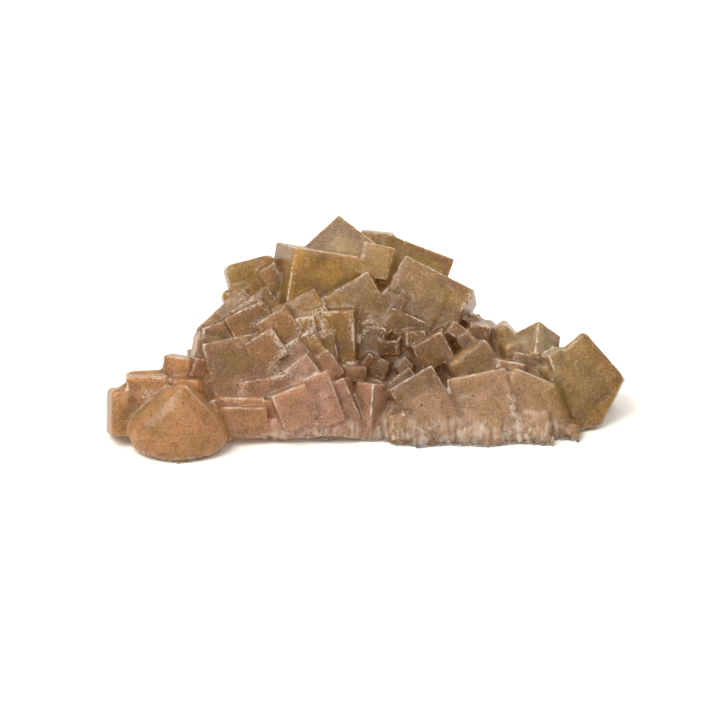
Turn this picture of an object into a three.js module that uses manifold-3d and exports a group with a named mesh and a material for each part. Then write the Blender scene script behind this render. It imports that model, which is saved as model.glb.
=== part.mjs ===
// Fluorite specimen: one cluster of intergrown, frosted, honey-coloured cubes on a short broken base.
// It is one natural piece, so every crystal is joined to its neighbours in a single closed solid.
// Units are millimetres, +Z is up, and the origin is the middle of the bounding box's underside.
// The show side, where the best crystals are, faces -Y.
import * as THREE from "three";
import { RoundedBoxGeometry } from "three/addons/geometries/RoundedBoxGeometry.js";
import { mergeVertices } from "three/addons/utils/BufferGeometryUtils.js";
import Module from "manifold-3d";

const wasm = await Module();
wasm.setup();

// Driving dimensions
const SHOW_TILT = 25; // degrees: how far above the horizon the show side is looked at
const EYE_DISTANCE = 600; // from the eye to the front of the base
const EYE_HEIGHT = 16; // where the line of sight meets the show plane, above the base's front edge
const FLOOR_DEPTH = 30; // how deep the block is that trims the underside flat
const SHORTEST_EDGE = 0.03; // edges shorter than this are merged away after joining
const BACK_SPREAD = 0.3; // how much a back crystal's sides vary, as a share of its size
const LAYER_STEP = 0.12; // how far each growth layer stands proud of the one below
const LAYER_SPAN = 5.5; // a face gets one growth layer for each of these that its short side holds
const MOST_LAYERS = 2; // growth layers on one face
const LAYER_SHARE = [0.55, 0.9]; // how much of the face a growth layer covers, each way, at least and at most
const LAYER_ROOT = 0.6; // how far down a growth layer goes, as a share of its crystal's depth
const WELL_WORN = 2.5; // corners worn rounder than this are drawn in more steps
const FIRST_SEED = 7; // starts the stream of numbers that turns the back crystals and lays the growth layers

const radians = THREE.MathUtils.degToRad;

// The show plane leans back by SHOW_TILT: across is +X, up climbs the plane and out points at the eye.
const across = new THREE.Vector3(1, 0, 0);
const up = new THREE.Vector3(0, Math.sin(radians(SHOW_TILT)), Math.cos(radians(SHOW_TILT)));
const out = new THREE.Vector3().crossVectors(across, up);
const showPlane = new THREE.Matrix4().makeBasis(across, up, out);

// A crystal is given by its front face as the eye sees it: [name, [across, up, out], [wide, tall, deep],
// [roll, yaw, lean], worn]. The place is the middle of the front face. Roll turns the face anticlockwise, yaw
// turns it to the right so that its left side shows, and lean tips it forward so that its top shows. Worn is the
// radius that its edges are worn to, and a crystal without it is sharp.
const showCrystals = [
  // Summit and the big blocks round it
  ["summit", [-3.9, 39.1, -20], [10.5, 11, 11], [43, 19, -23]],
  ["amber block", [-5.5, 31.5, -14], [18.5, 12.2, 13], [-8, 20, 4]],
  ["amber tab", [3.1, 35.9, -15], [6.8, 7, 8], [-13, -7, -6]],
  ["left shoulder", [-21.1, 32.3, -16.6], [10.4, 8.2, 9], [15, 8, 2], 1.4],
  ["left shoulder step", [-17.4, 31.5, -15.5], [4, 7.5, 7], [24, 0, 0]],
  ["left shoulder foot", [-23.4, 28.2, -15], [7.6, 6, 8], [20, 6, 0], 1.2],
  ["back slab", [10.6, 34.4, -23], [15.4, 10, 12], [-20.5, 6, -8]],
  ["back slab step", [3.2, 38.4, -23], [7, 6.4, 8], [-6, 0, 6]],
  ["broad window", [12.6, 27.2, -11], [16.3, 15, 14], [-27, -9, -7]],
  ["broad window step", [5.2, 25.6, -10.4], [5, 9, 8], [-27, -9, -7]],
  ["broad window foot", [9.5, 22.6, -9.6], [9, 5, 8], [-24, -4, 2]],
  ["centre plate", [-1, 27.4, -11.5], [11, 9, 9], [30, -5, -9]],
  // Middle of the slope
  ["dark window", [-4.4, 20.6, -7.5], [6.8, 10.8, 10], [2, -12, 5]],
  ["narrow post", [-10.4, 21.8, -6.5], [3.6, 6.4, 8], [8, 6, -8]],
  ["leaning block", [-16, 21.8, -6], [7.4, 8, 9], [33, -6, -4]],
  ["roof plate", [-12, 25.6, -9], [10, 6.5, 8], [28, 4, -12]],
  ["stack upper", [-20.4, 25.8, -9.5], [9, 7, 8], [38, 5, -6]],
  ["stack lower", [-22, 23.8, -7.5], [9, 5.8, 8], [27, 8, -2]],
  ["stack back", [-24.6, 26, -11], [8, 6, 8], [42, 6, -10]],
  ["left flank high", [-27.6, 22.4, -11], [8, 7.2, 9], [43, 14, -4]],
  ["left flank low", [-28.6, 17.4, -7], [8.4, 7, 9], [-9, 12, 4], 1.2],
  ["left flank fill", [-26.6, 20, -8], [8, 8, 8], [20, 8, 0]],
  ["broad left face", [-23.4, 15.2, -2], [14.4, 11.4, 11], [12, 6, -5]],
  ["inset block", [-18.8, 18.2, -1.6], [6.5, 6.5, 7], [33, -4, 3]],
  ["broad face foot", [-19, 10, -0.6], [10, 5, 9], [10, 4, 0]],
  ["low roof", [-13, 13, -1], [9, 4.5, 8], [38, -4, -12]],
  ["low roof back", [-13.4, 16.6, -3.6], [7, 6, 8], [33, 2, -6]],
  ["post back", [-8.4, 23.4, -8.5], [5, 6, 7], [15, 0, 0]],
  ["slanting bar", [-9.2, 17.7, -4.5], [4.4, 8.4, 7], [33, -10, 6]],
  ["slanting back", [-6.6, 18.4, -6.4], [4, 6, 7], [10, 0, 0]],
  ["slanting foot", [-6.6, 14.4, -4.6], [5, 6, 7], [35, 0, 10]],
  // Small crystals in the hollow on the right
  ["hollow tab", [11.2, 20.2, -7], [4.2, 3.4, 6], [3, 8, 6]],
  ["hollow block", [14.6, 17.6, -6], [7, 6.2, 8], [27, -10, 8]],
  ["hollow chip", [19.4, 22, -7], [3.2, 3, 6], [-35, 10, -14]],
  ["hollow cube", [21.2, 19.8, -6.5], [3.4, 3.2, 6], [40, -12, 4]],
  ["hollow wedge", [24, 21.4, -9], [4.4, 3.4, 6], [-12, 6, 8]],
  ["ridge block", [25.6, 20.4, -12.4], [5.2, 4.6, 8], [2, 8, 14], 1],
  ["ridge corner", [28.8, 20.2, -12.6], [4.6, 5.2, 8], [42, -8, 4], 1],
  ["ridge fill", [27, 18.4, -13], [13, 6, 12], [-8, 0, 0]],
  ["ridge bump", [22.6, 23.4, -12], [3, 3, 6], [20, 0, 0]],
  ["ridge back", [21.4, 22.6, -15], [6, 6, 8], [-30, 0, 0]],
  ["round shoulder", [23.6, 14.6, -3.2], [9.6, 8.6, 10], [35, 5, 5], 1.6],
  ["hollow step", [6, 18.4, -9], [4.4, 3, 6], [2, 10, 12]],
  ["hollow floor", [2.4, 14.4, -9], [5, 4, 6], [-40, 14, 10]],
  ["hollow diamond", [8.6, 14.8, -7], [3.4, 3, 6], [40, 0, -10]],
  ["hollow fin", [4, 14.4, -8.5], [3.4, 4, 6], [-20, -12, 4]],
  ["hollow wall", [2.2, 19.5, -9.5], [5, 7, 7], [-12, -14, 0]],
  ["hollow sill", [-1.6, 13.2, -6.5], [6, 3.4, 7], [-6, 4, 10]],
  // Front row
  ["sill upper", [-24, 7, 2], [9.5, 3, 8], [0, -3, 12]],
  ["sill lower", [-25, 3.4, 3.6], [13, 6.5, 10], [0, 3, -4]],
  ["rose plate", [-12.8, 6.2, 4.4], [7.4, 8.4, 8], [22, 8, 4]],
  ["rose block", [-8.4, 7.6, 3.5], [8, 11, 9], [21, -5, -5]],
  ["rose step", [-3.8, 7.5, 2.5], [5, 9, 8], [24, -8, -3]],
  ["edge-on cube", [4, 6, 2], [5, 10.6, 5], [0, 45, 6]],
  ["edge-on flank", [7.6, 3.6, 1.6], [6, 7, 8], [-34, 14, 4]],
  ["sill end", [-17.4, 4.4, 1.2], [5, 6.5, 8], [-12, 20, 2]],
  ["pale diamond", [13.3, 7.1, 3], [10, 13, 10], [30, 5, -7]],
  ["pale diamond back", [9.6, 9.6, 1.5], [7, 8, 8], [37, 10, -4]],
  ["pale square", [24.5, 6.7, 2], [12, 13.6, 10], [11.5, -4, -3]],
  ["worn end", [32.8, 7.4, 1.8], [10, 12.4, 10], [-22, 2, -6], 1.4],
  ["worn end back", [30, 13.6, -2.6], [6, 4.4, 8], [-10, 0, 0]],
  ["worn end corner", [37, 4.8, 1.2], [8.4, 12, 9], [20, -12, 2], 2],
  ["rose apron", [-9, 2.6, 3.2], [18, 5, 9], [2, 0, -8], 0.8],
  ["pale apron left", [11.6, 2.9, 3.6], [12, 6, 9], [5, 4, -8], 0.8],
  ["pale apron", [22.6, 3.1, 3.4], [12.6, 7, 9], [-3, -3, -7], 0.8],
  ["pale apron right", [32.8, 2.8, 2.8], [11, 6.6, 9], [6, -6, -8], 0.8],
  // Right end
  ["east cube", [44.3, 13.6, -4], [12.2, 12.6, 13], [40, 4, -8], 1],
  ["east cube foot", [45.8, 10.4, -4.5], [11, 10, 12], [-27, -6, 3]],
  ["east heel", [43, 5.2, -3.1], [9, 10.4, 12], [38, 0, -8], 2.4],
  ["pale peak", [37.7, 19.2, -9], [6.9, 8.5, 7.4], [-35, 30, -45]],
  ["east hollow cube", [31.6, 17, -8.4], [5, 5, 7], [10, 10, 10], 0.8],
  ["east hollow fill", [34, 14, -6.4], [8, 6, 8], [-14, 0, 0]],
  ["east hollow slab", [36.6, 15.4, -8], [6, 5, 8], [-10, 0, 6]],
  ["east hollow wedge", [40.6, 15.6, -5], [5.6, 5, 8], [25, 30, 12]],
  // Left lobe
  ["west lobe", [-36.8, 0.8, 10.2], [17.2, 17.2, 14], [43, -2, 0], 5.5],
  ["west face", [-35.7, 3.7, 9.4], [11.3, 11.9, 12], [43, -3, 1], 1.8],
  ["west end", [-47.6, 5.2, 5], [4, 10, 8], [0, 15, 3], 1.2],
  ["west end step", [-46, 9.4, 2], [5, 4.6, 7], [34, 10, 0]],
  ["west crown", [-42.4, 9.6, 3.5], [8.4, 6.4, 8], [3, 6, 8]],
  ["west crown back", [-42.8, 12, -1], [6.5, 4, 6], [3, 0, 0]],
  ["west cheek", [-43.4, 5.2, 4.2], [7, 8, 8], [-6, 8, 0]],
  ["west turret", [-37, 14.4, -1], [5.4, 4.8, 7], [-8, -6, 4]],
  ["ember", [-32, 12, -3], [4, 8.5, 6], [-15, 12, 0]],
  ["ember foot", [-29.6, 8.4, -1.2], [5.4, 7, 8], [-6, 0, 4]],
  ["west ledge", [-35.4, 9.4, 1.5], [6, 5.5, 7], [-5, -10, 5]],
  ["west link", [-30.4, 3, 4.5], [6, 9, 9], [20, -12, -4]],
];

// Broken cleavage blocks of the base's front edge: [place, size, turn], given as for a show crystal.
const rimBlocks = [
  [[-15.5, 1.6, 0.8], [7, 5, 7], [12, 10, 4]],
  [[-9.5, 1.7, 0.9], [7, 4.4, 7], [-8, -12, 10]],
  [[-3.4, 1.9, 1.2], [7, 4, 7], [5, 14, 8]],
  [[2.6, 1.3, 1.8], [6.4, 4.2, 7], [-12, 8, 12]],
  [[8.4, 0.6, 3.2], [6.8, 4.6, 7], [8, -10, 6]],
  [[14.8, -0.2, 3.6], [7.4, 4.6, 7], [-6, 12, 10]],
  [[21.6, 0, 3.4], [7.6, 4.4, 7], [10, -6, 8]],
  [[28.4, -0.4, 3.2], [7.4, 4.6, 7], [-3, 14, 12]],
  [[35, -0.8, 2.6], [7.8, 5, 7], [-12, -8, 8]],
  [[40.6, 0.2, 0.8], [6.6, 5, 7], [14, -16, 10]],
];

// The turned box whose front face sits at a place on the show plane, pushed back behind that face.
function showBox(place, [wide, tall, deep], [roll, yaw, lean], worn = 0) {
  const spread = (EYE_DISTANCE - place[2]) / EYE_DISTANCE;
  const turned = new THREE.Matrix4().makeRotationZ(radians(roll));
  turned.multiply(new THREE.Matrix4().makeRotationY(radians(yaw)));
  turned.multiply(new THREE.Matrix4().makeRotationX(radians(lean)));
  turned.setPosition(place[0] * spread, EYE_HEIGHT + (place[1] - EYE_HEIGHT) * spread, place[2]);
  return { size: [wide, tall, deep], frame: showPlane.clone().multiply(turned), worn };
}

// Crystals of the back, which the show side hides: [[x, y, z], size], in the part's own directions.
const backCrystals = [
  // Along the floor
  [[-44, 7, 2], 8],
  [[-39, 14, 2], 9],
  [[-31, 23, 2], 9.5],
  [[-25, 32, 4], 12],
  [[-16, 40, 4], 12],
  [[-4, 44, 4], 13],
  [[8, 42, 4], 12],
  [[19, 36, 3], 12],
  [[28, 28, 2], 10],
  [[37, 23, 2], 9],
  [[45, 19, 2], 9],
  // Half way up
  [[-29.5, 16, 6], 7.5],
  [[-23, 25, 9], 10],
  [[-16, 33, 11], 10],
  [[-5, 38, 12], 11],
  [[6, 36, 12], 11],
  [[16, 30, 9], 10],
  [[26, 22, 6], 9],
  [[36, 18, 6], 8],
  [[45, 14, 6], 8],
  // Near the top
  [[-17, 29, 16], 8],
  [[-7, 33, 19], 9],
  [[3, 34, 18], 9],
  [[12, 30, 16], 9],
  // In between
  [[-27, 20, 12], 7],
  [[-12, 36, 16], 8],
  [[0, 41, 9], 9],
  [[9, 36, 15], 8],
  [[20, 27, 11], 8],
  [[30, 20, 7], 7],
];

// The core that joins all the crystals: ribs side by side, each an outline from the side, pulled along X.
// [[from x, to x], [y, z] corners of the outline]
const coreRibs = [
  [[-45, -30], [[-2, 0], [4, 6], [10, 8], [15, 3], [17, 0]]],
  [[-33, -15], [[5, 0], [12, 7], [20, 13.5], [26, 14], [31, 7], [34, 0]]],
  [[-19, 6], [[3, 0], [15, 8], [19.5, 15], [27, 20.5], [35, 22.5], [41, 6], [43, 0]]],
  [[4, 18], [[3, 0], [14, 7.5], [19, 14], [25, 18], [31, 17], [38, 6], [41, 0]]],
  [[16, 35], [[4, 0], [12, 6], [20, 11], [26, 10], [30, 5], [32, 0]]],
  [[34, 47], [[8, 0], [12, 8], [17, 9], [21, 5], [22, 0]]],
];

// The closed solid of a three.js geometry.
function solidOf(geometry) {
  const bare = geometry.clone();
  bare.deleteAttribute("normal");
  bare.deleteAttribute("uv");
  const merged = mergeVertices(bare, 1e-4);
  return new wasm.Manifold(
    new wasm.Mesh({
      numProp: 3,
      vertProperties: new Float32Array(merged.attributes.position.array),
      triVerts: new Uint32Array(merged.index.array),
    }),
  );
}

function geometryOf(solid) {
  const mesh = solid.getMesh();
  const geometry = new THREE.BufferGeometry();
  geometry.setAttribute("position", new THREE.BufferAttribute(mesh.vertProperties, 3));
  geometry.setIndex(new THREE.BufferAttribute(mesh.triVerts, 1));
  return geometry;
}

// A repeatable stream of numbers from 0 to 1, so that the cluster comes out the same each time.
function randomStream(seed) {
  let state = seed;
  return () => {
    state = (state * 1664525 + 1013904223) % 4294967296;
    return state / 4294967296;
  };
}

function backBox([place, size], random) {
  const about = () => 1 + BACK_SPREAD * (random() - 0.5);
  const turn = new THREE.Euler(...[1, 1, 1].map(() => Math.PI * random()));
  const frame = new THREE.Matrix4().makeRotationFromEuler(turn).setPosition(...place);
  frame.multiply(new THREE.Matrix4().makeTranslation(0, 0, size / 2));
  return { size: [size * about(), size * about(), size * about()], frame };
}

// A crystal's box, with its front face through the frame's origin.
function boxGeometry({ size, frame, worn }) {
  const steps = worn > WELL_WORN ? 3 : 1;
  const box = worn ? new RoundedBoxGeometry(...size, steps, worn) : new THREE.BoxGeometry(...size);
  return box.translate(0, 0, -size[2] / 2).applyMatrix4(frame);
}

// Growth layers: thin plates that stand proud of a crystal's front face and stop short of some edges. Wear has
// taken them off the worn crystals.
function growthLayers({ size: [wide, tall, deep], frame, worn }, random) {
  const layers = [];
  if (worn) return layers;
  const count = Math.min(MOST_LAYERS, Math.floor(Math.min(wide, tall) / LAYER_SPAN));
  for (let i = 0; i < count; i++) {
    const [least, most] = LAYER_SHARE;
    const covered = [wide, tall].map((side) => side * (least + (most - least) * random()));
    const toEdge = [(wide - covered[0]) / 2, (tall - covered[1]) / 2];
    const [right, upward] = toEdge.map((gap) => (random() < 0.5 ? -gap : gap));
    const moved = new THREE.Matrix4().makeTranslation(right, upward, LAYER_STEP * (i + 1));
    layers.push({ size: [...covered, deep * LAYER_ROOT], frame: frame.clone().multiply(moved) });
  }
  return layers;
}

function ribGeometry([[from, to], corners]) {
  const outline = new THREE.Shape(corners.map(([y, z]) => new THREE.Vector2(y, z)));
  const geometry = new THREE.ExtrudeGeometry(outline, { depth: to - from, bevelEnabled: false });
  // The outline's own x runs along +Y and its y along +Z, and it is pulled along +X.
  const [alongX, alongY, alongZ] = [0, 1, 2].map((i) => new THREE.Vector3().setComponent(i, 1));
  geometry.applyMatrix4(new THREE.Matrix4().makeBasis(alongY, alongZ, alongX));
  return geometry.translate(from, 0, 0);
}

const random = randomStream(FIRST_SEED);
const crystals = [
  ...showCrystals.map(([, ...box]) => showBox(...box)),
  ...rimBlocks.map((row) => showBox(...row)),
  ...backCrystals.map((row) => backBox(row, random)),
];
const layers = crystals.flatMap((crystal) => growthLayers(crystal, random));
const geometries = [...coreRibs.map(ribGeometry), ...[...crystals, ...layers].map(boxGeometry)];
let cluster = solidOf(geometries[0]);
for (const geometry of geometries.slice(1)) cluster = cluster.add(solidOf(geometry));

const floor = new THREE.BoxGeometry(400, 400, FLOOR_DEPTH).translate(0, 0, -FLOOR_DEPTH / 2);
cluster = cluster.subtract(solidOf(floor)).simplify(SHORTEST_EDGE);

// Voids sealed inside the cluster come out of decompose as bodies of negative volume, and are dropped.
const bodies = cluster.decompose().sort((a, b) => b.volume() - a.volume());

const geometry = geometryOf(bodies[0]);
geometry.computeBoundingBox();
geometry.computeVertexNormals();
const middle = geometry.boundingBox.getCenter(new THREE.Vector3());

const honeyFluorite = new THREE.MeshStandardMaterial({ color: 0xb0905c, roughness: 0.45, metalness: 0 });
const fluorite = new THREE.Mesh(geometry, honeyFluorite);
fluorite.name = "fluorite_cluster";

const specimen = new THREE.Group();
specimen.add(fluorite);
specimen.position.set(-middle.x, -middle.y, -geometry.boundingBox.min.z);

export default specimen;
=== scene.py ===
# %% [markdown]
# # A fluorite specimen
# Fluorite grows as cubes. In this specimen dozens of them, 3 to 17 mm across, have grown into each other
# on a thin broken base, and all of them are one piece. The solid model already has every crystal in its
# place. What is left for Blender is what makes stone look like stone: edges that are worn and frosted,
# faces that are etched, a broken underside, and light that goes a few millimetres into the crystal before
# it comes out again.

# %% Load the solid model
import math

import bmesh
import bpy
import numpy as np
from mathutils import Matrix, Vector, kdtree
from mathutils.bvhtree import BVHTree


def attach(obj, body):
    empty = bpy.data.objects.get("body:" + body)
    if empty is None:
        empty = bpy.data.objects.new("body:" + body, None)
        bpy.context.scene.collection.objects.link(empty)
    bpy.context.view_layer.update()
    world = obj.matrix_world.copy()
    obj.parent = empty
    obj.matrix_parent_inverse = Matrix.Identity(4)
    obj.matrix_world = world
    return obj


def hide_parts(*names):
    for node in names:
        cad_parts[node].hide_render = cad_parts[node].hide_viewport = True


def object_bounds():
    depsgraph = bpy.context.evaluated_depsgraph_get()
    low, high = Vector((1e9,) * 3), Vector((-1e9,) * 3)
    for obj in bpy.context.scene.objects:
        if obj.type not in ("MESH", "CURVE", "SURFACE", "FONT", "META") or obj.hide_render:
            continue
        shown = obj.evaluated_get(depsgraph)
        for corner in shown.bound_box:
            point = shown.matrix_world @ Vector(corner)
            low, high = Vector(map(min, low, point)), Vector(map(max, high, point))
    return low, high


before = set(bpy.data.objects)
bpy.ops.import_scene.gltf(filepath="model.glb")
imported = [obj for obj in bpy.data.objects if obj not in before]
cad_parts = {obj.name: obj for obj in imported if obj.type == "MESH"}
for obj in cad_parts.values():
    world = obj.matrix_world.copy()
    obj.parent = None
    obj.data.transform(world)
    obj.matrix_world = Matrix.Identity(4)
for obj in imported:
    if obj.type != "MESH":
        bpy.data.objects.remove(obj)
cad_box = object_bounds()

MM = 0.001
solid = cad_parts["fluorite_cluster"]
print("solid model, mm:", [round(side / MM, 1) for side in solid.dimensions])

# %% [markdown]
# ## The camera
# The specimen is looked at from 25 degrees above the horizon, from 600 mm away. A camera can be aimed
# with a constraint, but here the show side has axes of its own, across, up and out towards the eye, and a
# camera's own axes are the same three, so they go straight into its matrix. Later steps name places on
# the show side by the same axes.

# %% Set up the camera
SHOW_TILT = math.radians(25)
SHOW_ORIGIN = Vector((-1.86, -20.11, 0.0)) * MM
EYE = (0.0, 16.0, 600.0)
LENS = 150.0
SENSOR = 36.0
across = Vector((1.0, 0.0, 0.0))
up = Vector((0.0, math.sin(SHOW_TILT), math.cos(SHOW_TILT)))
out = across.cross(up)


def show_point(right, high, near):
    """A point given in millimetres on the show side's own axes."""
    return SHOW_ORIGIN + (across * right + up * high + out * near) * MM


camera_data = bpy.data.cameras.new("camera")
camera_data.lens = LENS
camera_data.sensor_width = SENSOR
camera = bpy.data.objects.new("camera", camera_data)
camera.matrix_world = Matrix.Translation(show_point(*EYE)) @ Matrix((across, up, out)).transposed().to_4x4()
bpy.context.scene.collection.objects.link(camera)
bpy.context.scene.camera = camera
print("width of the view at the specimen, mm:", round(SENSOR / LENS * EYE[2], 1))

# %% [markdown]
# ## A mesh that can be worn
# The solid model's faces are large and its edges are razor sharp. Real fluorite edges are rounded by
# about half a millimetre. A Bevel modifier could round them, but where dozens of cubes cross it leaves
# overlapping slivers. A voxel remesh is safer: it rebuilds the skin from small even squares, which also
# gives the later wear something to push on. A little smoothing takes the stair steps off the edges.

# %% Copy the solid and rebuild its skin
VOXEL = 0.30 * MM
MERGE = 0.001 * MM
SAME_PLANE = math.radians(0.5)


def only(piece):
    """Selects one object and makes it active."""
    bpy.ops.object.select_all(action="DESELECT")
    piece.select_set(True)
    bpy.context.view_layer.objects.active = piece


def copy_solid(name):
    """A merged copy of the solid, with flat faces that are one polygon each."""
    piece = bpy.data.objects.new(name, solid.data.copy())
    bpy.context.scene.collection.objects.link(piece)
    only(piece)
    bpy.ops.object.mode_set(mode="EDIT")
    bpy.ops.mesh.select_all(action="SELECT")
    bpy.ops.mesh.remove_doubles(threshold=MERGE)
    bpy.ops.mesh.dissolve_limited(angle_limit=SAME_PLANE)
    bpy.ops.object.mode_set(mode="OBJECT")
    return piece


def apply_modifier(piece, kind, **settings):
    """Adds a modifier, sets it and applies it."""
    only(piece)
    modifier = piece.modifiers.new(kind.lower(), kind)
    for name, value in settings.items():
        setattr(modifier, name, value)
    bpy.ops.object.modifier_apply(modifier=modifier.name)


flat_faces = copy_solid("flat_faces")
cluster = copy_solid("fluorite_crystals")
apply_modifier(cluster, "REMESH", mode="VOXEL", voxel_size=VOXEL, use_smooth_shade=True)
apply_modifier(cluster, "SMOOTH", factor=0.5, iterations=2)
print("flat faces:", len(flat_faces.data.polygons), "skin faces:", len(cluster.data.polygons))

# %% [markdown]
# ## Where the edges and the seams are
# Frost and chips sit on the crystals' outer edges, and shadow and stain in the seams between them. To
# place them, each point of the skin has to know how far it is from the nearest of both. The sharp edges
# of the flat copy are walked in short steps, and a k-d tree finds the nearest step for every point. The
# rims of thin growth layers are left out: they are so low that neither frost nor stain gathers there.

# %% Measure the distance to edges and seams
STEP = 0.25 * MM
SHARP_EDGE, SHARP_SEAM = math.radians(50), math.radians(20)
NARROW = 0.5 * MM


def edge_points(piece, convex):
    """Points along the sharp edges that stick out, or fold in, without those of thin growth layers."""
    shape = bmesh.new()
    shape.from_mesh(piece.data)
    width = {face: 2.0 * face.calc_area() / face.calc_perimeter() for face in shape.faces}
    points = []
    for edge in shape.edges:
        if len(edge.link_faces) != 2 or min(width[face] for face in edge.link_faces) < NARROW:
            continue
        bend = edge.calc_face_angle_signed(0.0)
        if (bend < SHARP_EDGE) if convex else (-bend < SHARP_SEAM):
            continue
        start, end = (vertex.co.copy() for vertex in edge.verts)
        count = max(2, int((end - start).length / STEP))
        points += [start.lerp(end, i / (count - 1)) for i in range(count)]
    shape.free()
    return points


def tree_of(points):
    """A k-d tree of the points."""
    tree = kdtree.KDTree(len(points))
    for i, point in enumerate(points):
        tree.insert(point, i)
    tree.balance()
    return tree


def distances(piece, tree):
    """The distance in millimetres from each vertex to the nearest point in the tree."""
    return np.array([tree.find(vertex.co)[2] for vertex in piece.data.vertices]) / MM


edges_tree = tree_of(edge_points(flat_faces, convex=True))
seams_tree = tree_of(edge_points(flat_faces, convex=False))
to_edge = distances(cluster, edges_tree)
print("points within 1 mm of an edge:", int((to_edge < 1.0).sum()), "of", len(to_edge))

# %% [markdown]
# ## Where the piece is broken
# The piece broke off its rock along the underside and the foot of the front, and the break reaches higher
# on the right of the front than on the left. Weight painting could mark it by hand. Here each point's
# place and the way that it faces tell the same, as a share from 0 to 1, and the share can be measured
# again later, when the mesh has changed.

# %% Find the broken share of each point
# Places along the specimen, and how high the break of the front reaches there, in millimetres
FOOT_HEIGHTS = ((-32.0, 1.0), (-20.0, 4.0), (5.0, 7.5), (36.0, 7.5), (42.0, 1.0))
FOOT_CORE = 0.25
# Where a share is full and where it is none: places in millimetres, and the upward part of a normal
FOOT_DEPTH = (-12.0, -6.0)
RIM_HEIGHT = (0.2, 0.8)
UNDERSIDE_HEIGHT = (1.8, 3.0)
FACING_DOWN = (-0.7, -0.3)


def fade(values, full, none):
    """1 where a value has reached full, 0 where it has reached none, and a smooth step between."""
    t = np.clip((values - none) / (full - none), 0.0, 1.0)
    return t * t * (3.0 - 2.0 * t)


def places_of(piece):
    """The vertices' places in millimetres, as an array."""
    flat = np.zeros(len(piece.data.vertices) * 3)
    piece.data.vertices.foreach_get("co", flat)
    return flat.reshape(-1, 3) / MM


def normals_of(piece):
    """The vertices' normals, as an array."""
    flat = np.zeros(len(piece.data.vertices) * 3)
    piece.data.vertices.foreach_get("normal", flat)
    return flat.reshape(-1, 3)


def broken_share(piece):
    """1 on the underside and on the foot of the front, and 0 on the grown faces."""
    along, deep, high = places_of(piece).T
    height = np.interp(along, *zip(*FOOT_HEIGHTS))
    foot = fade(high, FOOT_CORE * height, height) * fade(deep, *FOOT_DEPTH)
    below = fade(high, *UNDERSIDE_HEIGHT) * fade(normals_of(piece)[:, 2], *FACING_DOWN)
    return np.maximum.reduce([foot, below, fade(high, *RIM_HEIGHT)])


places = places_of(cluster)
broken = broken_share(cluster)
print("points on the break:", int((broken > 0.5).sum()), "of", len(broken))

# %% [markdown]
# ## Worn corners
# Corners that stood out in the ground are worn round, and so are the edges of the break. A Smooth
# modifier with a vertex group rounds just those. The places are named on the show side, and the wear
# reaches only some way back from it, so that the crystals behind keep their edges.

# %% Wear the corners
WORN_PLACES = [
    # Where on the show side (across, up) in millimetres, how far the wear reaches, and how strong it is
    ((-40, 2), 13, 1.0),
    ((-36, 8), 7, 1.0),
    ((-22, 32), 6, 0.8),
    ((22, 27), 4, 0.7),
    ((41, 3), 7, 1.0),
    ((9, 5.5), 4, 0.8),
    ((17, 5.5), 5, 1.0),
    ((26, 5.5), 5, 1.0),
    ((34, 5.5), 5, 1.0),
]
SPOT_CORE = 0.4
SHOW_DEPTH = (-20.0, -30.0)
WORN_BAND = (0.5, 2.5)
WEAR_ROUNDS = 36
LEAST_WEIGHT = 0.01


def share_near(places, spots):
    """How strongly the spots reach each place. A spot is (across, up), its reach and its strength."""
    share = np.zeros(len(places))
    offsets = places - np.array(SHOW_ORIGIN) / MM
    for (right, high), reach, strength in spots:
        aside = np.hypot(offsets @ np.array(across) - right, offsets @ np.array(up) - high)
        share = np.maximum(share, strength * fade(aside, SPOT_CORE * reach, reach))
    return share * fade(offsets @ np.array(out), *SHOW_DEPTH)


def weigh(piece, name, weights):
    """Writes a weight for every vertex into a vertex group."""
    group = piece.vertex_groups.new(name=name)
    for index in np.nonzero(weights > LEAST_WEIGHT)[0]:
        group.add([int(index)], float(weights[index]), "REPLACE")
    return name


wear = np.maximum(fade(to_edge, *WORN_BAND) * broken, share_near(places, WORN_PLACES))
worn = weigh(cluster, "worn", wear)
apply_modifier(cluster, "SMOOTH", factor=0.5, iterations=WEAR_ROUNDS, vertex_group=worn)
print("points that are worn:", int((wear > 0.5).sum()))

# %% [markdown]
# ## Breakage and chips
# The broken foot has upright flutes, the underside has lumps, and both are grainy, up to a millimetre and
# a half deep in all. Edges have small chips, and the grown faces swell a little, because no real face is
# quite flat. Sculpting could do each by hand. A Displace modifier with a vertex group does it from
# numbers, and with its middle level at 1 it only takes material away, so the piece never grows out of its
# solid. The modifier measures its texture on an empty, and an empty that is stretched upwards gives
# flutes. The lumps leave out the rim of the underside, for the piece stands on it.

# %% Break the foot and the underside, and chip the edges
UPRIGHT = (-0.5, -0.9)
INSIDE_RIM = (3.5, 0.8)
CHIP_BAND = (0.1, 0.6)


def erode(piece, name, weights, depth, stretch, **settings):
    """Takes up to depth off the skin, where the weights say so, in lumps that are stretched upwards."""
    texture = bpy.data.textures.new(name, "CLOUDS")
    for key, value in settings.items():
        setattr(texture, key, value)
    group = weigh(piece, name, weights)
    bpy.ops.object.empty_add()
    ruler = bpy.context.object
    ruler.scale.z = stretch
    bpy.context.view_layer.update()
    where = {"texture_coords": "OBJECT", "texture_coords_object": ruler, "vertex_group": group}
    apply_modifier(piece, "DISPLACE", texture=texture, strength=depth, mid_level=1.0, **where)
    bpy.data.objects.remove(ruler)


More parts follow.
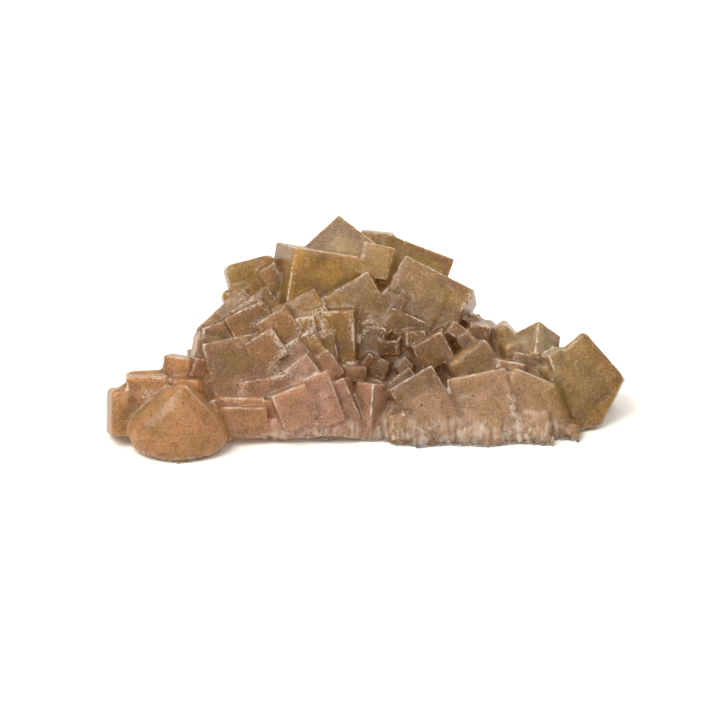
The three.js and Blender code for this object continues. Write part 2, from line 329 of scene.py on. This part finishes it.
upright = fade(normals_of(cluster)[:, 2], *UPRIGHT)
underside = broken * (1.0 - upright) * fade(to_edge, *INSIDE_RIM)
for name, weights, depth, stretch, lump, detail in (
    # Name, where, depth in mm, how much taller than wide the lumps are, their size in mm, and their detail
    ("break_flutes", broken * upright, 1.2, 3.0, 1.7, 1),
    ("break_lumps", underside, 1.4, 1.0, 3.0, 3),
    ("break_grain", broken, 0.4, 1.0, 0.8, 1),
    ("edge_chips", fade(to_edge, *CHIP_BAND), 0.24, 1.0, 1.3, 2),
    ("face_swell", np.ones(len(places)), 0.12, 1.0, 3.0, 2),
):
    erode(cluster, name, weights, depth * MM, stretch, noise_scale=lump * MM, noise_depth=detail)
    print(name, "on", int((weights > 0.5).sum()), "points")

# %% [markdown]
# ## A lighter mesh
# The skin has more faces than its detail needs. A larger voxel size would lose the chips too. A Decimate
# modifier thins the flat places first. It moves some points out by hundredths of a millimetre, so all are
# then held inside the solid's box.

# %% Thin the mesh
MOST_TRIANGLES = 190000
apply_modifier(cluster, "TRIANGULATE")
apply_modifier(cluster, "DECIMATE", ratio=MOST_TRIANGLES / len(cluster.data.polygons))
inside = np.clip(places_of(cluster) * MM, *np.array(cad_box))
cluster.data.vertices.foreach_set("co", inside.ravel())
cluster.vertex_groups.clear()
print("triangles:", len(cluster.data.polygons))

# %% [markdown]
# ## A tone for each flat face
# Every crystal grew from slightly different water, so its colour differs a little, and the change comes
# at the crystal's edge. A noise texture would ignore the edges. Instead each flat face gets one tone,
# mixed from the tones that are named for the places around it, and each point of the skin takes the tone
# of the flat face that it lies on. The back has a tone of its own. Three tones also hold painted light:
# the dark tone of the hollow is painted shade of the recess, the pale summit is partly a painted
# highlight, and the pink of the pale foot is partly painted bounce light from below.

# %% Give each face its tone
GROWTH_TONES = [
    # Where on the show side (across, up) in millimetres, how far the tone reaches, and the tone
    # The pale summit tone is partly its own colour and partly a painted highlight.
    ("pale summit", (-4, 39), 5, "#a09486"),
    ("olive amber block", (-4, 32), 7, "#c5983c"),
    ("back slab", (13, 35), 8, "#8a6f40"),
    ("brown window", (13, 27), 7, "#936d3e"),
    ("centre plate", (-1, 27), 4, "#6e4a28"),
    ("left shoulder", (-22, 30), 7, "#8e6d33"),
    ("dark window", (-5, 21), 4, "#8c671c"),
    ("stack", (-20, 24), 5, "#a67338"),
    ("purple-brown face", (-24, 15), 8, "#a47e66"),
    # The hollow's dark tone is painted shade: it darkens the recess where shadow falls.
    ("hollow", (6, 16), 7, "#543208"),
    ("small blocks", (20, 18), 7, "#83603b"),
    ("pale peak", (38, 19), 5, "#c9bd97"),
    ("olive cube", (46, 11), 8, "#8d6932"),
    ("pale front row", (24, 8), 11, "#c09a74"),
    # The pale foot's pink is partly frost and partly painted bounce light from below.
    ("pale foot", (25, 1), 9, "#ecc8b8"),
    ("rose front row", (-9, 6), 9, "#d6a692"),
    ("peach sill", (-25, 4), 7, "#d89e76"),
    ("peach lobe", (-38, 3), 10, "#d09c6c"),
    ("pale end", (-48, 5), 3, "#c6926c"),
    ("ember", (-33, 11), 3, "#ea9238"),
]
BACK_TONE = "#ad8f5e"
# How hard a tone of the show side and the tone of the back pull, and how far back the first give way
TONE_PULL, BACK_PULL = 4.0, 0.15
TONE_DEPTH = (-22.0, -34.0)
TONE_VARIATION = 0.10
FIRST_SEED = 11


def colour(hex_code):
    """An sRGB hex colour as the linear red, green, blue and alpha that Blender works in."""
    parts = [int(hex_code[i : i + 2], 16) / 255 for i in (1, 3, 5)]
    return (*[c / 12.92 if c <= 0.04045 else ((c + 0.055) / 1.055) ** 2.4 for c in parts], 1.0)


random = np.random.default_rng(FIRST_SEED)
tone_places = np.array([place for _, place, _, _ in GROWTH_TONES], float)
tone_reaches = np.array([reach for _, _, reach, _ in GROWTH_TONES], float)
tone_colours = np.array([colour(code)[:3] for _, _, _, code in GROWTH_TONES])
back_colour = np.array(colour(BACK_TONE)[:3])
face_tones = []
for face in flat_faces.data.polygons:
    offset = face.center - SHOW_ORIGIN
    spot = np.array((offset.dot(across), offset.dot(up))) / MM
    pull = TONE_PULL * np.exp(-(((spot - tone_places) ** 2).sum(axis=1)) / tone_reaches**2)
    pull = pull * fade(np.array(offset.dot(out) / MM), *TONE_DEPTH)
    tone = (pull @ tone_colours + BACK_PULL * back_colour) / (pull.sum() + BACK_PULL)
    face_tones.append(tone * (1.0 + TONE_VARIATION * (2.0 * random.random() - 1.0)))
face_tones = np.array(face_tones)
corners = [vertex.co for vertex in flat_faces.data.vertices]
outlines = [tuple(face.vertices) for face in flat_faces.data.polygons]
flat_tree = BVHTree.FromPolygons(corners, outlines)
places = places_of(cluster)
to_edge, to_seam = distances(cluster, edges_tree), distances(cluster, seams_tree)
broken = broken_share(cluster)
nearest_faces = [flat_tree.find_nearest(vertex.co)[2] for vertex in cluster.data.vertices]
tones = face_tones[nearest_faces]
print("tones given to", len(face_tones), "flat faces")

# %% [markdown]
# ## Notes for the material
# The material can't measure the mesh, but it can read what is stored there. So each point gets its tone,
# its distance in millimetres from the nearest edge and the nearest seam, its share of the break, how far
# it stands out over its neighbours, as a worn ridge does, and how much frost belongs there. Painted
# images could hold the same, but attributes need no unwrapping. The tones are averaged with their
# neighbours first, so that the triangles don't show as a saw edge, and much more on the break, where no
# crystal edge is left.

# %% Store the tones and distances on the mesh
FROSTED_PLACES = [
    # Where on the show side (across, up) in millimetres, how far the frost reaches, and how strong it is
    ((-15.5, 14), 5, 0.9),
    ((-9, 23.5), 6, 0.9),
    ((-1, 22), 4, 1.0),
    ((-21.5, 26), 6, 0.7),
    ((-16, 19.5), 5, 1.0),
    ((28, 2.5), 11, 0.9),
    ((12, 3), 8, 0.6),
    ((41, 7), 5, 0.9),
    ((22, 28), 4, 1.0),
    ((-12.5, 35), 4, 0.6),
    ((42.6, 13.6), 3, 1.0),
    ((36, 18), 4, 0.7),
    ((27.5, 17), 5, 0.6),
    ((-40, 9), 7, 0.7),
    ((-49, 5), 6, 0.8),
    ((-25, 9.5), 5, 0.7),
    ((-8, 1), 9, 0.6),
    ((8, 21), 8, 0.5),
    ((4, 24.5), 4, 0.7),
]
LEAST_FROST = 0.25
FARTHEST = 6.0
HIGHEST_RIDGE = 0.3
FACE_ROUNDS, BREAK_ROUNDS = 2, 16
ends = np.zeros(len(cluster.data.edges) * 2, int)
cluster.data.edges.foreach_get("vertices", ends)
ends = ends.reshape(-1, 2)
neighbours = np.bincount(ends.ravel(), minlength=len(places))


def around(values):
    """The mean of each vertex's neighbours."""
    sums = np.bincount(ends[:, 0], values[ends[:, 1]], len(values))
    sums += np.bincount(ends[:, 1], values[ends[:, 0]], len(values))
    return sums / neighbours


def soften(values, rounds):
    """Averages each vertex with its neighbours, several times."""
    for _ in range(rounds):
        values = 0.5 * values + 0.5 * around(values)
    return values


def note(name, values):
    """Stores one number for each vertex."""
    attribute = cluster.data.attributes.new(name, "FLOAT", "POINT")
    attribute.data.foreach_set("value", values.astype(np.float32))


soft_tones = np.ones((len(places), 4), np.float32)
for channel in range(3):
    soft = soften(tones[:, channel], FACE_ROUNDS)
    soft_tones[:, channel] = soft + broken * (soften(soft, BREAK_ROUNDS) - soft)
tone_attribute = cluster.data.attributes.new("growth_tone", "FLOAT_COLOR", "POINT")
tone_attribute.data.foreach_set("color", soft_tones.ravel())
note("to_edge", np.clip(to_edge, 0.0, FARTHEST))
note("to_seam", np.clip(to_seam, 0.0, FARTHEST))
note("broken", broken)
raised = places - np.stack([around(places[:, axis]) for axis in range(3)], axis=1)
ridge = (raised * normals_of(cluster)).sum(axis=1)
note("ridge", np.clip(ridge, 0.0, HIGHEST_RIDGE))
print("ridge height of the sharpest twentieth, mm:", round(np.percentile(ridge, 95), 3))
note("frosting", np.maximum(share_near(places, FROSTED_PLACES), LEAST_FROST))
bpy.data.objects.remove(flat_faces)
print("attributes:", [a.name for a in cluster.data.attributes if not a.name.startswith(".")])

# %% [markdown]
# ## Frosted honey fluorite
# Fluorite, calcium fluoride, is a soft, clear, waxy crystal with a low index of 1.434, so it bends and
# reflects light less than glass. Its faces here are etched matt, and the light that goes in is scattered
# by tiny flaws and comes out honey brown. So the shader is part plain transmission and part soft, deep
# scattering, and an absorbing volume makes thick crystals darker.

# %% Start the fluorite material
fluorite = bpy.data.materials.new("fluorite, frosted by etching")
fluorite.use_nodes = True
tree = fluorite.node_tree
shader = tree.nodes["Principled BSDF"]
shader.inputs["IOR"].default_value = 1.434
shader.inputs["Transmission Weight"].default_value = 0.55
shader.inputs["Subsurface Weight"].default_value = 0.85
shader.inputs["Subsurface Radius"].default_value = (1.0, 0.65, 0.35)
shader.inputs["Subsurface Scale"].default_value = 6.0 * MM


def add(kind, inputs=None, **settings):
    """Adds a node, sets its properties, and gives its inputs a value each, or an output to follow."""
    node = tree.nodes.new("ShaderNode" + kind)
    for name, value in settings.items():
        setattr(node, name, value)
    for key, value in (inputs or {}).items():
        if isinstance(value, bpy.types.NodeSocket):
            tree.links.new(value, node.inputs[key])
        else:
            node.inputs[key].default_value = value
    return node.outputs


absorption = add("VolumeAbsorption", {"Color": colour("#e6ba3f"), "Density": 25.0})["Volume"]
tree.links.new(absorption, tree.nodes["Material Output"].inputs["Volume"])
print("index of refraction:", round(shader.inputs["IOR"].default_value, 3))

# %% [markdown]
# ## Patterns
# The colour is built from patterns: the measures that are stored on the mesh, and noises of several
# sizes, from slow changes over a whole crystal to grains as fine as sugar. An image of stone would
# stretch over the cubes' sides, and noises that fill the space run through them like the stone's own
# flaws. The one for the break is stretched upwards, to lie along the flutes.

# %% Add the patterns
CLEAVAGE_STRETCH = (1.1, 1.1, 0.4)
in_mm = add("Mapping", {"Vector": add("TexCoord")["Object"], "Scale": (1 / MM, 1 / MM, 1 / MM)})["Vector"]
patterns = {}
for name in ("to_edge", "to_seam", "broken", "frosting", "ridge"):
    patterns[name] = add("Attribute", attribute_name=name)["Fac"]
for name, lump, detail, distortion in (
    # Name, the size of the lumps in millimetres, how fine they go, and how much they are stirred
    ("wide", 6.0, 3.0, 0.0),
    ("clouds", 3.2, 3.0, 1.2),
    ("fine", 1.8, 3.0, 0.0),
    ("grain", 0.36, 2.0, 0.0),
    ("streak", 1.0, 2.0, 0.5),
):
    noise = {"Vector": in_mm, "Scale": 1 / lump, "Detail": detail, "Distortion": distortion}
    patterns[name] = add("TexNoise", noise)["Fac"]
stretched = add("VectorMath", {0: in_mm, 1: CLEAVAGE_STRETCH}, operation="MULTIPLY")["Vector"]
patterns["cleavage"] = add("TexNoise", {"Vector": stretched, "Scale": 1.0, "Detail": 3.0})["Fac"]
print("patterns:", list(patterns))

# %% [markdown]
# ## Growth lines, edge lines and frost
# A cube face grew in thin square layers, whose rims show as faint lines parallel to its edges. A noise
# that changes fast with the distance from the edge, and slowly along it, draws them. The edge itself is a
# thin pale line, partly frost where it is bruised and partly a painted highlight of light caught on the
# edge. The distance from the edge gives that line, and a noise makes it waver. It comes and goes, is
# strongest where the stone is frosted, and ends before it runs into a seam.
# Frost is broken up by a fine grain, like sugar. Painting could place each line, but would have to be
# done again after every change of the mesh.

# %% Draw the growth lines, the edge lines and the frost
LINE_WIDTH = 0.45
SLOW = 0.06
WAVER = 0.6
FROST_HELP = 0.5
SUGAR = 1.2
slow_place = add("VectorMath", {0: in_mm, "Scale": SLOW}, operation="SCALE")["Vector"]
layers = {"Vector": slow_place, "W": patterns["to_edge"], "Scale": 1 / LINE_WIDTH, "Detail": 1.0}
patterns["lines"] = add("TexNoise", layers, noise_dimensions="4D")["Fac"]
# The pale line along the outer edges: partly bruised frost, partly a painted highlight.
wavering = {0: patterns["fine"], 1: -WAVER, 2: patterns["to_edge"]}
patterns["frosted edge highlight"] = add("Math", wavering, operation="MULTIPLY_ADD")["Value"]
helped = {0: patterns["frosting"], 1: FROST_HELP, 2: patterns["clouds"]}
lined = add("Math", helped, operation="MULTIPLY_ADD")["Value"]
patterns["line places"] = add("Math", {0: lined, 1: patterns["to_seam"]}, operation="MINIMUM")["Value"]
sugar = add("Math", {0: patterns["grain"], 1: SUGAR, 2: -SUGAR / 2}, operation="MULTIPLY_ADD")["Value"]
sugary = {0: patterns["streak"], 1: patterns["frosting"], 2: sugar}
patterns["sugary frost"] = add("Math", sugary, operation="MULTIPLY_ADD")["Value"]
print("patterns:", list(patterns))

# %% [markdown]
# ## Specks and glints
# Dark grains are caught in the crystal, 0.2 to 0.5 mm across, and small flaws glint. The grains could be
# scattered as tiny bodies, but at this size only their colour is seen. The glints are painted highlights:
# pale dots in the colour where flaws would catch the light. Both come from Voronoi cells: a dot sits in
# some of the cells.

# %% Draw the specks and the glints
CHOICE_STEP = 0.15
for name, cell, small, large, rarest in (
    # Name, a cell's size in mm, where in it a dot is full and none, and the least number that has a dot
    ("small specks", 0.55, 0.14, 0.32, 0.45),
    ("large specks", 1.3, 0.10, 0.22, 0.60),
    # The glints are painted highlights: pale dots that stand in for flaws catching the light.
    ("glints", 1.0, 0.08, 0.18, 0.60),
):
    cells = add("TexVoronoi", {"Vector": in_mm, "Scale": 1 / cell, "Randomness": 1.0})
    dot = add("MapRange", {"Value": cells["Distance"], "From Min": large, "From Max": small})["Result"]
    number = add("SeparateColor", {"Color": cells["Color"]})["Red"]
    choice = {"Value": number, "From Min": rarest, "From Max": rarest + CHOICE_STEP}
    chosen = add("MapRange", choice)["Result"]
    patterns[name] = add("Math", {0: dot, 1: chosen}, operation="MULTIPLY")["Value"]
    print(name, "in cells of", cell, "mm")

# %% [markdown]
# ## Coats of colour
# On the real piece each thing that the eye reads lies over the last: the olive centre and the rosy dull
# band of each face, the stain in the seams, clouds and mottle, growth lines, specks, and the white frost
# on edges, scuffed faces and the break. Some coats paint light and shade too: the stain in the seams is
# partly painted shade, the glints are painted highlights, and the pale lines on edges and on raised ridges
# are partly frost and partly painted highlights. So the colour is built from coats, one row each. A coat
# shows where both of its patterns are near the values at which it is full. One way would be a mix node by
# hand for each, but a table is easier to tune.

# %% Lay the coats
COATS = [
    # Name, pattern, where it is none and full, a second pattern with the same, strength, colour
    ("olive centre", "to_edge", 0.8, 3.2, "wide", 0.38, 0.58, 0.52, "#9a7e36"),
    ("rosy rim", "to_edge", 2.8, 0.6, "wide", 0.62, 0.42, 0.56, "#8c6a54"),
    # Darker colour in the seams between crystals: partly a real stain and partly painted shade.
    ("seam stain and shade", "to_seam", 0.9, 0.1, "fine", 0.40, 0.65, 0.28, "#5c4120"),
    ("dark clouds", "clouds", 0.46, 0.34, "to_edge", 0.4, 1.6, 0.30, "#69501f"),
    ("pale clouds", "clouds", 0.54, 0.66, "to_edge", 0.3, 1.0, 0.30, "#cca56c"),
    ("dark mottle", "grain", 0.50, 0.40, "fine", 0.30, 0.55, 0.50, "#5d4524"),
    ("pale mottle", "grain", 0.52, 0.64, "fine", 0.65, 0.40, 0.42, "#d4b280"),
    ("dark growth lines", "lines", 0.42, 0.36, "fine", 0.60, 0.45, 0.25, "#664928"),
    ("pale growth lines", "lines", 0.60, 0.65, "streak", 0.45, 0.55, 0.22, "#dcc3a3"),
    ("small specks", "small specks", 0.1, 0.6, "fine", 0.38, 0.60, 0.62, "#60420f"),
    ("large specks", "large specks", 0.1, 0.6, "clouds", 0.40, 0.55, 0.70, "#54360c"),
    # Glints: painted highlights, pale dots in the colour.
    ("glints", "glints", 0.1, 0.6, "fine", 0.60, 0.40, 0.70, "#f3e6d6"),
    ("frost by the edges", "to_edge", 1.5, 0.3, "sugary frost", 0.36, 0.54, 0.88, "#f4e6d6"),
    ("broken frost", "broken", 0.0, 0.8, "cleavage", 0.42, 0.66, 0.75, "#f0dfd2"),
    # These two rows: pale ridges and edges, partly worn frost and partly painted highlights.
    ("worn ridge highlights", "ridge", 0.045, 0.090, "grain", 0.42, 0.56, 0.50, "#f0dfca"),
    ("frosted edge highlight", "frosted edge highlight", 0.12, -0.03, "line places", 0.40, 0.58, 0.90, "#f6e8d6"),
]
skin_colour = add("Attribute", attribute_name="growth_tone")["Color"]
shares = {}
for name, first, none, full, second, second_none, second_full, strength, code in COATS:
    step = {"Value": patterns[first], "From Min": none, "From Max": full, "To Max": strength}
    near = add("MapRange", step, interpolation_type="SMOOTHSTEP")["Result"]
    step = {"Value": patterns[second], "From Min": second_none, "From Max": second_full}
    patchy = add("MapRange", step, interpolation_type="SMOOTHSTEP")["Result"]
    shares[name] = add("Math", {0: near, 1: patchy}, operation="MULTIPLY")["Value"]
    # A Mix node's places 6 and 7 take its two colours, and place 2 gives the mixed colour
    skin_colour = add("Mix", {"Factor": shares[name], 6: skin_colour, 7: colour(code)}, data_type="RGBA")[2]
tree.links.new(skin_colour, shader.inputs["Base Color"])
print("coats:", list(shares))

# %% [markdown]
# ## Matt frost and fine relief
# Frost is rougher than the grown faces. The growth lines, the frost and the cleavage of the break also
# stand out by a few hundredths of a millimetre. Displacing the mesh would need many times its triangles,
# so a bump draws them.

# %% Set the roughness and the relief
GROWN_ROUGHNESS, FROST_ROUGHNESS = 0.34, 0.75
RELIEF_DEPTH = 0.10 * MM
frost = add("Math", {0: shares["frosted edge highlight"], 1: shares["frost by the edges"]}, operation="MAXIMUM")["Value"]
gloss = {"Value": frost, "To Min": GROWN_ROUGHNESS, "To Max": FROST_ROUGHNESS}
roughness = add("MapRange", gloss)["Result"]
# A Mix node's places 2 and 3 take its two numbers, and place 0 gives the mixed number
grown_relief = add("Mix", {"Factor": frost, 2: patterns["lines"], 3: patterns["grain"]})[0]
relief = add("Mix", {"Factor": patterns["broken"], 2: grown_relief, 3: patterns["cleavage"]})[0]
bump = add("Bump", {"Height": relief, "Strength": 0.5, "Distance": RELIEF_DEPTH})["Normal"]
tree.links.new(roughness, shader.inputs["Roughness"])
tree.links.new(bump, shader.inputs["Normal"])
cluster.data.materials.clear()
cluster.data.materials.append(fluorite)
print("fluorite nodes:", len(tree.nodes))

# %% [markdown]
# ## Back in the frame
# The finished mesh is shown in place of the solid, which is hidden, and moves with the root body. It is
# shaded smooth, because its triangles are far smaller than the real piece's facets, and flat shading
# would show them.

# %% Put the finished cluster in the frame
only(cluster)
bpy.ops.object.shade_smooth()
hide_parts("fluorite_cluster")
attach(cluster, "root")
print("dressed piece, mm:", [round(side / MM, 1) for side in cluster.dimensions])

# %% [markdown]
# ## Floor and light
# The piece lies on a pale floor, as in a studio: one large soft light from the upper left, a weaker one
# from behind that glows through the thin crystals, and an even pale sky to fill the hollows. A sky alone
# would leave the cubes flat, and a small lamp would give the soft stone hard shadows. The floor is a matt
# white card, so that the eye has a plain white to read the stone's colour against.

# %% Lay the floor and hang the lights
FLOOR_SIZE = 6.0
FLOOR_GAP = 0.05 * MM
AIM = Vector((0, 0, 0.012))
SKY_STRENGTH = 0.84
bpy.ops.mesh.primitive_plane_add(size=FLOOR_SIZE, location=(0.0, 0.0, -FLOOR_GAP))
floor = bpy.context.object
floor.name = "floor"
card = bpy.data.materials.new("white card, matt")
card.use_nodes = True
card.node_tree.nodes["Principled BSDF"].inputs["Base Color"].default_value = colour("#f4f3f1")
card.node_tree.nodes["Principled BSDF"].inputs["Roughness"].default_value = 0.9
floor.data.materials.append(card)


def soft_light(name, place, size, watts, warmth):
    """A square area light that is aimed at the specimen."""
    data = bpy.data.lights.new(name, "AREA")
    data.size, data.energy, data.color = size, watts, colour(warmth)[:3]
    light = bpy.data.objects.new(name, data)
    light.location = place
    light.rotation_euler = (AIM - Vector(place)).to_track_quat("-Z", "Y").to_euler()
    bpy.context.scene.collection.objects.link(light)
    print(name, "at", round(Vector(place).length, 2), "m")


soft_light("window light", (-0.30, -0.26, 0.58), 0.45, 4.6, "#fffaf2")
soft_light("back light", (0.25, 0.45, 0.35), 0.35, 2.0, "#ffffff")
world = bpy.data.worlds.new("even sky")
world.use_nodes = True
world.node_tree.nodes["Background"].inputs["Color"].default_value = colour("#fffaf2")
world.node_tree.nodes["Background"].inputs["Strength"].default_value = SKY_STRENGTH
bpy.context.scene.world = world
bpy.context.scene.view_settings.view_transform = "Standard"
